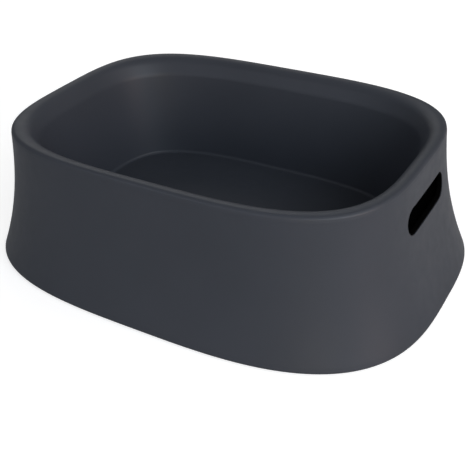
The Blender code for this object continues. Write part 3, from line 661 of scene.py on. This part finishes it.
def make_skirt(finish):
    """The outer skin, with a flange below, a lap under the basin's lip, slots and screw holes."""
    rings = [foot_ring(FLANGE_WIDTH, SKIN_BOTTOM), foot_ring(FLANGE_WIDTH / 2, SKIN_BOTTOM)]
    for inset, z in arc((EDGE_RADIUS, SKIN_BOTTOM + EDGE_RADIUS), EDGE_RADIUS, 270, 180, 8):
        rings.append(skin_ring(z, inset))
    side_bottom = SKIN_BOTTOM + EDGE_RADIUS
    side_top = HEIGHT - LIP_DEPTH - SEAM
    rows = 30
    for row in range(1, rows + 1):
        rings.append(skin_ring(side_bottom + (side_top - side_bottom) * row / rows, 0.0))
    lap_inset = WALL + GAP
    rings.append(skin_ring(side_top, lap_inset))
    rings.append(rim_ring(lap_inset + GAP, HEIGHT - WALL - LAP_TOP_GAP))
    source = helper(loft("skirt", rings))
    solidify(source, WALL)
    far = FOOT_LENGTH
    slot = helper(stadium_prism("slot", SLOT_LENGTH, SLOT_HEIGHT, SLOT_Z, -far, far, 32))
    boolean(source, slot, "DIFFERENCE")
    places = places_of(EDGE_SCREWS)
    mouth = radius_of(EDGE_SCREWS[0]) + COUNTERSINK_MARGIN
    sink_low, sink_high = SKIN_BOTTOM - COUNTERSINK_START, SKIN_BOTTOM + SCREW_HEAD_DEPTH
    sinks = helper(cylinders("sinks", places, mouth, sink_low, sink_high, 32, SCREW_HOLE_RADIUS))
    boolean(source, sinks, "DIFFERENCE")
    shanks = helper(cylinders("shanks", places, SCREW_HOLE_RADIUS, SKIN_BOTTOM, PANEL_LOW.z))
    boolean(source, shanks, "DIFFERENCE")
    mesh = smooth(baked(source, "skirt_moulding", slot, sinks, shanks), 40.0)
    return piece("skirt_moulding", mesh, finish, "tub", "outer_skirt")


# ---------------------------------------------------------------- hand slots


def make_cups(finish):
    """The finger cups: a pocket behind the skirt, with a neck that lines the slot."""
    margin = 2.0 * MM
    low_z, high_z = CUP_LOW.z - margin, CUP_HIGH.z + margin
    back = CUP_LOW.x
    far = FOOT_LENGTH / 2
    pocket_length = CUP_HIGH.y - CUP_LOW.y
    pocket_height = CUP_HIGH.z - CUP_LOW.z
    behind = WALL + CUP_CLEARANCE
    tools = []

    def block(name, inset):
        tools.append(skin_block(name, inset, low_z, high_z))
        return tools[-1]

    def prism(name, length, height, front):
        tools.append(helper(stadium_prism(name, length, height, SLOT_Z, front, far)))
        return tools[-1]

    pocket = helper(stadium_prism("cup", pocket_length, pocket_height, SLOT_Z, back, far))
    boolean(pocket, block("pocket_front", behind), "INTERSECT")
    neck_fit = 2 * GAP
    neck = prism("neck", SLOT_LENGTH - neck_fit, SLOT_HEIGHT - neck_fit, back + CUP_WALL)
    boolean(neck, block("neck_front", NECK_RECESS), "INTERSECT")
    boolean(pocket, neck, "UNION")
    hollow = prism("hollow", pocket_length - 2 * CUP_WALL, pocket_height - 2 * CUP_WALL, back + CUP_WALL)
    boolean(hollow, block("hollow_front", behind + CUP_WALL), "INTERSECT")
    boolean(pocket, hollow, "DIFFERENCE")
    throat_fit = neck_fit + 2 * CUP_WALL
    throat = prism("throat", SLOT_LENGTH - throat_fit, SLOT_HEIGHT - throat_fit, back + 2 * CUP_WALL)
    boolean(pocket, throat, "DIFFERENCE")
    mesh = smooth(baked(pocket, "finger_cup", *tools), 30.0)
    piece("finger_cup_right", mesh, finish, "tub", "handle_cup_right")
    left = bpy.data.objects.new("finger_cup_left", mesh)
    left.rotation_euler.z = math.pi
    link(left, "tub", "handle_cup_left")


# ---------------------------------------------------------------- underside


def make_panel(finish):
    """The base panel: bevels round its edge, hollow support cones, bosses and its holes."""
    inset = FOOT_LENGTH / 2 - PANEL_HIGH.x
    bottom = PANEL_LOW.z
    top = bottom + PANEL_WALL
    rings = [foot_ring(inset + PANEL_LOWER_BEVEL, bottom), foot_ring(inset, bottom + PANEL_LOWER_BEVEL)]
    rings += [foot_ring(inset, top - PANEL_UPPER_BEVEL), foot_ring(inset + PANEL_UPPER_BEVEL, top)]
    source = helper(loft("panel", rings, capped=True))
    tools = []

    def cut(mesh, operation="DIFFERENCE"):
        tools.append(helper(mesh))
        boolean(source, tools[-1], operation)

    supports = places_of(SUPPORT_SCREWS)
    edge_places = places_of(EDGE_SCREWS)
    middle = bottom + PANEL_WALL / 2
    below, above = bottom - MM, top + MM
    cone_top = PANEL_HIGH.z
    slope = (CONE_FOOT_RADIUS - CONE_TOP_RADIUS) / (cone_top - top)
    cone_radius = CONE_FOOT_RADIUS + slope * (top - middle)
    cut(cylinders("cones", supports, cone_radius, middle, cone_top, 64, CONE_TOP_RADIUS), "UNION")
    hollow_top = cone_top - PANEL_WALL
    inner = CONE_TOP_RADIUS - PANEL_WALL
    inner_foot = inner + slope * (hollow_top - below)
    cut(cylinders("hollows", supports, inner_foot, below, hollow_top, 64, inner))
    cut(cylinders("screw_holes", supports, SCREW_HOLE_RADIUS, below, cone_top + MM, 24))
    cut(cylinders("stems", places_of(FEET), STEM_HOLE_RADIUS, below, above, 24))
    cut(cylinders("outlet", [(DRAIN_X, 0.0)], OUTLET_RADIUS, below, above, 96))
    boss_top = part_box(EDGE_SCREWS[0])[1].z + BOSS_RISE
    cut(cylinders("bosses", edge_places, BOSS_RADIUS, middle, boss_top, 32), "UNION")
    cut(cylinders("pilots", edge_places, PILOT_RADIUS, below, boss_top - BOSS_ROOF, 24))
    mesh = smooth(baked(source, "underside_panel", *tools), 30.0)
    return piece("underside_panel", mesh, finish, "tub", "base_panel")


def round_head(radius):
    """A screw head with round edges, from its shank side down, as (radius, z)."""
    upper_edge, lower_edge = 1.0 * MM, 1.2 * MM
    outline = arc((radius - upper_edge, -upper_edge), upper_edge, 90, 0, 4)
    outline += arc((radius - lower_edge, lower_edge - SCREW_HEAD_DEPTH), lower_edge, 0, -90, 5)
    return outline


def sunk_head(radius):
    """A countersunk screw head with a short straight side, as (radius, z)."""
    face = -SCREW_HEAD_DEPTH
    return [(radius - 0.1 * MM, face + 0.35 * MM), (radius, face + 0.2 * MM), (radius, face)]


def screw_mesh(head, length):
    """A screw with its head below: a blunt tip, thread ridges and a plain stretch by the head."""
    root = SHANK_RADIUS * SHANK_ROOT
    thread_top = length - 2 * SHANK_RADIUS
    profile = [(0.0, length), (SHANK_RADIUS * SHANK_TIP, length), (SHANK_RADIUS, thread_top)]
    profile += ridges(SHANK_RADIUS, root, thread_top, 0.4 * MM, SHANK_PITCH)
    profile += [(root, profile[-1][1] - 0.2 * MM), (root, 0.0)]
    profile += [*head, (0.0, -SCREW_HEAD_DEPTH)]
    return turned("screw", profile, closed=False, steps=32, angle=40.0)


def make_screws(finish):
    for kind, nodes, head in (("support", SUPPORT_SCREWS, round_head), ("edge", EDGE_SCREWS, sunk_head)):
        low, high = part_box(nodes[0])
        radius = radius_of(nodes[0])
        made = helper(screw_mesh(head(radius), high.z - low.z - SCREW_HEAD_DEPTH))
        opening, floor = -SCREW_HEAD_DEPTH - MM, -SCREW_HEAD_DEPTH * SOCKET_FLOOR
        socket = helper(cylinders("socket", [(0.0, 0.0)], radius * SOCKET_SIZE, opening, floor, 6))
        boolean(made, socket, "DIFFERENCE")
        mesh = smooth(baked(made, f"{kind}_screw_fine", socket), 35.0)
        for number, node in enumerate(nodes, 1):
            at = node_centre(node)
            place = (at.x, at.y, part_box(node)[0].z + SCREW_HEAD_DEPTH)
            piece(f"{kind}_fastener_{number}", mesh, finish, "tub", node, place)


def make_feet(finish):
    """Pads with round edges and two grip grooves, on a barbed stem."""
    stem_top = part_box(FEET[0])[1].z
    pad = radius_of(FEET[0])
    pad_top = PANEL_LOW.z - GAP
    barb_foot = PANEL_LOW.z + PANEL_WALL + GAP
    upper_edge, lower_edge = 0.6 * MM, 1.2 * MM
    profile = [(0.0, stem_top), (BARB_RADIUS * BARB_TIP, stem_top), (BARB_RADIUS, barb_foot)]
    profile += [(STEM_RADIUS, barb_foot), (STEM_RADIUS, pad_top)]
    profile += arc((pad - upper_edge, pad_top - upper_edge), upper_edge, 90, 0, 3)
    profile += arc((pad - lower_edge, lower_edge), lower_edge, 0, -90, 5)
    mouth, root = GROOVE_WIDTH / 2, 0.6 * MM
    for groove in GROOVE_RADII:
        profile += [(groove + mouth, 0.0), (groove + root, GROOVE_DEPTH)]
        profile += [(groove - root, GROOVE_DEPTH), (groove - mouth, 0.0)]
    profile.append((0.0, 0.0))
    mesh = turned("grip_foot", profile, closed=False, steps=64, angle=50.0)
    for node in FEET:
        at = node_centre(node)
        name = node.replace("foot", "grip_foot")
        piece(name, mesh, finish, "tub", node, (at.x, at.y, 0.0))


# ---------------------------------------------------------------- drain


def make_seals(finish):
    for node, name in (("drain_gasket", "flange_gasket"), ("drain_washer", "nut_washer")):
        low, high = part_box(node)
        section = rounded_ring(DRAIN_HOLE_RADIUS, radius_of(node), high.z - low.z, 0.5 * MM)
        mesh = turned(name, section, closed=True)
        piece(name, mesh, finish, "tub", node, (DRAIN_X, 0.0, low.z))


def make_waste(finish):
    """The drain's body: a collar with soft edges, a tapered seat, a ledge and a threaded barrel."""
    collar = radius_of("drain_waste")
    top, bottom = WASTE_HIGH.z, WASTE_LOW.z
    under = top - COLLAR_DEPTH
    thread_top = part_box("drain_locknut")[1].z
    root = BARREL_RADIUS - BARREL_THREAD_DEPTH
    ledge_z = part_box("drain_strainer")[0].z - GAP
    outer_edge, inner_edge = 1.4 * MM, 0.8 * MM
    profile = arc((collar - outer_edge, top - outer_edge), outer_edge, 90, 0, 6)
    profile += [(collar, under), (BARREL_RADIUS, under), (BARREL_RADIUS, thread_top)]
    profile += ridges(BARREL_RADIUS, root, thread_top, bottom + MM, BARREL_PITCH)
    profile += [(root, bottom), (LEDGE_RADIUS, bottom), (LEDGE_RADIUS, ledge_z)]
    profile += [(SEAT_FOOT_RADIUS, ledge_z), (SEAT_FOOT_RADIUS, top - SEAT_DEPTH)]
    profile.append((SEAT_RADIUS - 0.2 * MM, top - 1.0 * MM))
    profile += arc((SEAT_RADIUS + inner_edge, top - inner_edge), inner_edge, 180, 90, 4)
    mesh = turned("waste_body", profile, closed=True, steps=96)
    piece("waste_body", mesh, finish, "tub", "drain_waste", (DRAIN_X, 0.0, 0.0))


def make_strainer(finish):
    """A disc with a bevelled edge and rings of holes."""
    low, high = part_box("drain_strainer")
    radius, thickness = radius_of("drain_strainer"), high.z - low.z
    bevel = 0.3 * MM
    profile = [(0.0, thickness), (radius - bevel, thickness), (radius, thickness - bevel)]
    profile += [(radius, 0.0), (0.0, 0.0)]
    source = helper(turned("strainer", profile, closed=False, steps=96))
    places = [(0.0, 0.0)]
    for share, count in STRAINER_RINGS:
        for index in range(count):
            angle = 2 * math.pi * index / count
            places.append((radius * share * math.cos(angle), radius * share * math.sin(angle)))
    holes = helper(cylinders("holes", places, STRAINER_HOLE_RADIUS, -MM, thickness + MM, 16))
    boolean(source, holes, "DIFFERENCE")
    mesh = smooth(baked(source, "strainer_disc", holes), 30.0)
    piece("strainer_disc", mesh, finish, "tub", "drain_strainer", (DRAIN_X, 0.0, low.z))


def make_locknut(finish):
    """The locknut: a round-edged ring with lugs for the hand."""
    low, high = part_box("drain_locknut")
    height = high.z - low.z
    ring = radius_of("drain_locknut") - LUG_REACH
    section = rounded_ring(NUT_BORE_RADIUS, ring, height, 0.8 * MM)
    source = helper(turned("nut", section, closed=True, steps=96))
    lugs = bpy.data.meshes.new("lugs")
    shape = bmesh.new()
    size = Matrix.Diagonal((2 * LUG_REACH, LUG_WIDTH, height - 2 * MM, 1))
    for index in range(LUG_COUNT):
        turn = Matrix.Rotation(2 * math.pi * index / LUG_COUNT, 4, "Z")
        place = turn @ Matrix.Translation((ring, 0, height / 2))
        made = bmesh.ops.create_cube(shape, size=1.0, matrix=place @ size)
        edges = {edge for vert in made["verts"] for edge in vert.link_edges}
        bmesh.ops.bevel(shape, geom=list(edges), offset=0.7 * MM, segments=3, affect="EDGES", profile=0.5)
    shape.to_mesh(lugs)
    shape.free()
    tool = helper(lugs)
    boolean(source, tool, "UNION")
    mesh = smooth(baked(source, "lugged_nut", tool), 35.0)
    place = (DRAIN_X, 0.0, low.z)
    piece("lugged_nut", mesh, finish, "tub", "drain_locknut", place)


def make_stopper(finish):
    """A rubber plug: soft edges, a shallow ring sunk in its top, and steps down its side."""
    low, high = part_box("drain_stopper")
    flange = radius_of("drain_stopper")
    top = high.z
    sunk = top - 0.35 * MM
    under = top - STOPPER_FLANGE_DEPTH
    bore, bore_bottom = EYE_BORE_RADIUS, top - EYE_BORE_DEPTH
    upper_edge, lower_edge, foot_edge = 1.1 * MM, 0.5 * MM, 1.0 * MM
    profile = [(bore, top), (flange * 0.30, top), (flange * 0.32, sunk), (flange * 0.74, sunk)]
    profile.append((flange * 0.77, top))
    profile += arc((flange - upper_edge, top - upper_edge), upper_edge, 90, 0, 5)
    profile += arc((flange - lower_edge, under + lower_edge), lower_edge, 0, -90, 3)
    profile.append((PLUG_TOP_RADIUS, under))
    for step in range(3):
        radius = PLUG_TOP_RADIUS - step * PLUG_STEP_IN
        z = under - 1.5 * MM - step * PLUG_STEP_DOWN
        profile += [(radius - 0.35 * MM, z), (radius - 0.25 * MM, z - 1.2 * MM)]
    profile += arc((PLUG_FOOT_RADIUS - foot_edge, low.z + foot_edge), foot_edge, 0, -90, 4)
    profile += [(0.0, low.z), (0.0, bore_bottom), (bore, bore_bottom)]
    mesh = turned("plug", profile, closed=True, steps=96, angle=40.0)
    piece("plug", mesh, finish, "stopper", "drain_stopper", (DRAIN_X, 0.0, 0.0))


def eye_plate(low, width, height):
    """The eye's upright plate, with its two upper corners rounded."""
    mesh = bpy.data.meshes.new("eye")
    shape = bmesh.new()
    middle = low + height / 2
    size = Matrix.Diagonal((width, EYE_THICKNESS, height, 1))
    bmesh.ops.create_cube(shape, size=1.0, matrix=Matrix.Translation((0, 0, middle)) @ size)
    across = [edge for edge in shape.edges if abs(edge.verts[0].co.y - edge.verts[1].co.y) > MM]
    corners = [edge for edge in across if edge.verts[0].co.z > middle]
    bmesh.ops.bevel(shape, geom=corners, offset=EYE_CORNER, segments=8, affect="EDGES", profile=0.5)
    shape.to_mesh(mesh)
    shape.free()
    return mesh


def make_eye(finish):
    """A plate with a hole for the ring, on a stem, with its edges eased."""
    low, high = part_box("stopper_eye")
    plate_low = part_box("drain_stopper")[1].z + GAP
    source = helper(eye_plate(plate_low, high.x - low.x, high.z - plate_low))
    stem_top = plate_low + 0.5 * MM
    stem = helper(cylinders("stem", [(0, 0)], EYE_STEM_RADIUS, low.z, stem_top, 32))
    boolean(source, stem, "UNION")
    hole = helper(cylinders("hole", [(0, 0)], EYE_HOLE_RADIUS, -EYE_THICKNESS, EYE_THICKNESS, 32))
    hole.location = (0.0, 0.0, node_centre("pull_ring").z + GAP)
    hole.rotation_euler.x = math.pi / 2
    boolean(source, hole, "DIFFERENCE")
    edge = source.modifiers.new("edge", "BEVEL")
    edge.width = 0.25 * MM
    edge.segments = 2
    edge.limit_method = "ANGLE"
    edge.angle_limit = math.radians(50)
    mesh = smooth(baked(source, "ring_eye", stem, hole), 35.0)
    piece("ring_eye", mesh, finish, "stopper", "stopper_eye", (DRAIN_X, 0.0, 0.0))


def make_ring(finish):
    """The pull ring, of round wire."""
    reach = radius_of("pull_ring") - RING_WIRE
    section = arc((reach, 0.0), RING_WIRE, 90, -270, 20)[:-1]
    mesh = turned("wire_ring", section, closed=True, steps=96, angle=80.0)
    piece("wire_ring", mesh, finish, "ring", "pull_ring", node_centre("pull_ring"))


# ---------------------------------------------------------------- studio


def seen_only(tree, target, lighting, seen):
    """Sets a strength that lights the tub one way and looks another to the eye."""
    rays = tree.nodes.new("ShaderNodeLightPath")
    strength = tree.nodes.new("ShaderNodeMapRange")
    strength.inputs["To Min"].default_value = lighting
    strength.inputs["To Max"].default_value = seen
    tree.links.new(rays.outputs["Is Camera Ray"], strength.inputs["Value"])
    tree.links.new(strength.outputs["Result"], target)


def make_floor():
    mesh = bpy.data.meshes.new("studio_floor")
    shape = bmesh.new()
    bmesh.ops.create_grid(shape, x_segments=1, y_segments=1, size=FLOOR_REACH)
    shape.to_mesh(mesh)
    shape.free()
    floor = bpy.data.objects.new("studio_floor", mesh)
    bpy.context.scene.collection.objects.link(floor)
    made, shader = new_material("pale_floor", (FLOOR_GREY, FLOOR_GREY, FLOOR_GREY), 0.9)
    shader.inputs["Specular IOR Level"].default_value = 0.0
    shader.inputs["Emission Color"].default_value = (1.0, 1.0, 1.0, 1.0)
    seen_only(made.node_tree, shader.inputs["Emission Strength"], 0.0, FLOOR_WHITE)
    mesh.materials.append(made)


def area_light(name, place, size, power, colour=(1.0, 1.0, 1.0)):
    """A soft box that faces the tub."""
    data = bpy.data.lights.new(name, "AREA")
    data.shape = "RECTANGLE"
    data.size, data.size_y = size
    data.energy = power
    data.color = colour
    made = bpy.data.objects.new(name, data)
    made.location = place
    towards = Vector(LIGHT_TARGET) - Vector(place)
    made.rotation_euler = towards.to_track_quat("-Z", "Y").to_euler()
    bpy.context.scene.collection.objects.link(made)
    return made


def make_studio():
    make_floor()
    world = bpy.data.worlds.new("studio")
    bpy.context.scene.world = world
    world.use_nodes = True
    background = world.node_tree.nodes["Background"]
    background.inputs["Color"].default_value = (1.0, 1.0, 1.0, 1.0)
    seen_only(world.node_tree, background.inputs["Strength"], WORLD_LIGHT, WORLD_WHITE)
    area_light("key", (2.3, -1.35, 1.45), (2.2, 1.6), 51.0, (0.78, 0.89, 1.0))
    area_light("fill", (-0.9, -2.6, 1.0), (2.4, 1.4), 15.0, (0.80, 0.85, 1.0))
    area_light("over", (2.0, 0.3, 2.2), (2.0, 2.0), 13.0)
    area_light("front", (1.5, -2.5, 0.7), (1.4, 0.9), 13.0, (1.0, 0.82, 0.50))
    area_light("side", (2.8, -0.4, 0.7), (1.4, 0.9), 26.0, (1.0, 0.74, 0.60))
    area_light("back", (-1.6, 2.0, 1.9), (2.0, 1.5), 9.0)
    area_light("rear", (-1.3, 2.7, 0.7), (2.4, 1.0), 32.0).visible_glossy = False


def make_camera():
    data = bpy.data.cameras.new("camera")
    data.lens = CAMERA_LENS
    data.sensor_width = CAMERA_SENSOR
    made = bpy.data.objects.new("camera", data)
    middle = Vector((0, 0, HEIGHT / 2))
    bearing = Vector((math.sin(CAMERA_AZIMUTH), -math.cos(CAMERA_AZIMUTH), 0))
    rise = Vector((0, 0, math.sin(CAMERA_ELEVATION)))
    made.location = middle + (bearing * math.cos(CAMERA_ELEVATION) + rise) * CAMERA_DISTANCE
    azimuth = CAMERA_AZIMUTH + CAMERA_TURN
    dip = CAMERA_ELEVATION + CAMERA_DIP
    ahead = -Vector((math.sin(azimuth) * math.cos(dip), -math.cos(azimuth) * math.cos(dip), math.sin(dip)))
    right = ahead.cross(Vector((0, 0, 1))).normalized()
    up = right.cross(ahead)
    turn = Matrix((right, up, -ahead)).transposed() @ Matrix.Rotation(CAMERA_ROLL, 3, "Z")
    made.rotation_euler = turn.to_euler()
    bpy.context.scene.collection.objects.link(made)
    bpy.context.scene.camera = made


# ---------------------------------------------------------------- the scene

shell = shell_plastic()
panel_finish = panel_plastic()
foot_rubber = rubber("foot_rubber_look", 0.016)
seal_rubber = rubber("seal_rubber_look", 0.010)
steel = turned_steel()
zinc = zinc_steel()

make_basin(shell)
make_skirt(shell)
make_cups(cup_painted_shade_plastic())
make_panel(panel_finish)
make_screws(zinc)
make_feet(foot_rubber)
make_seals(seal_rubber)
make_waste(steel)
make_strainer(steel)
make_locknut(fitting_plastic())
make_stopper(seal_rubber)
make_eye(steel)
make_ring(steel)
make_studio()
make_camera()
bpy.context.scene.view_settings.view_transform = "Standard"
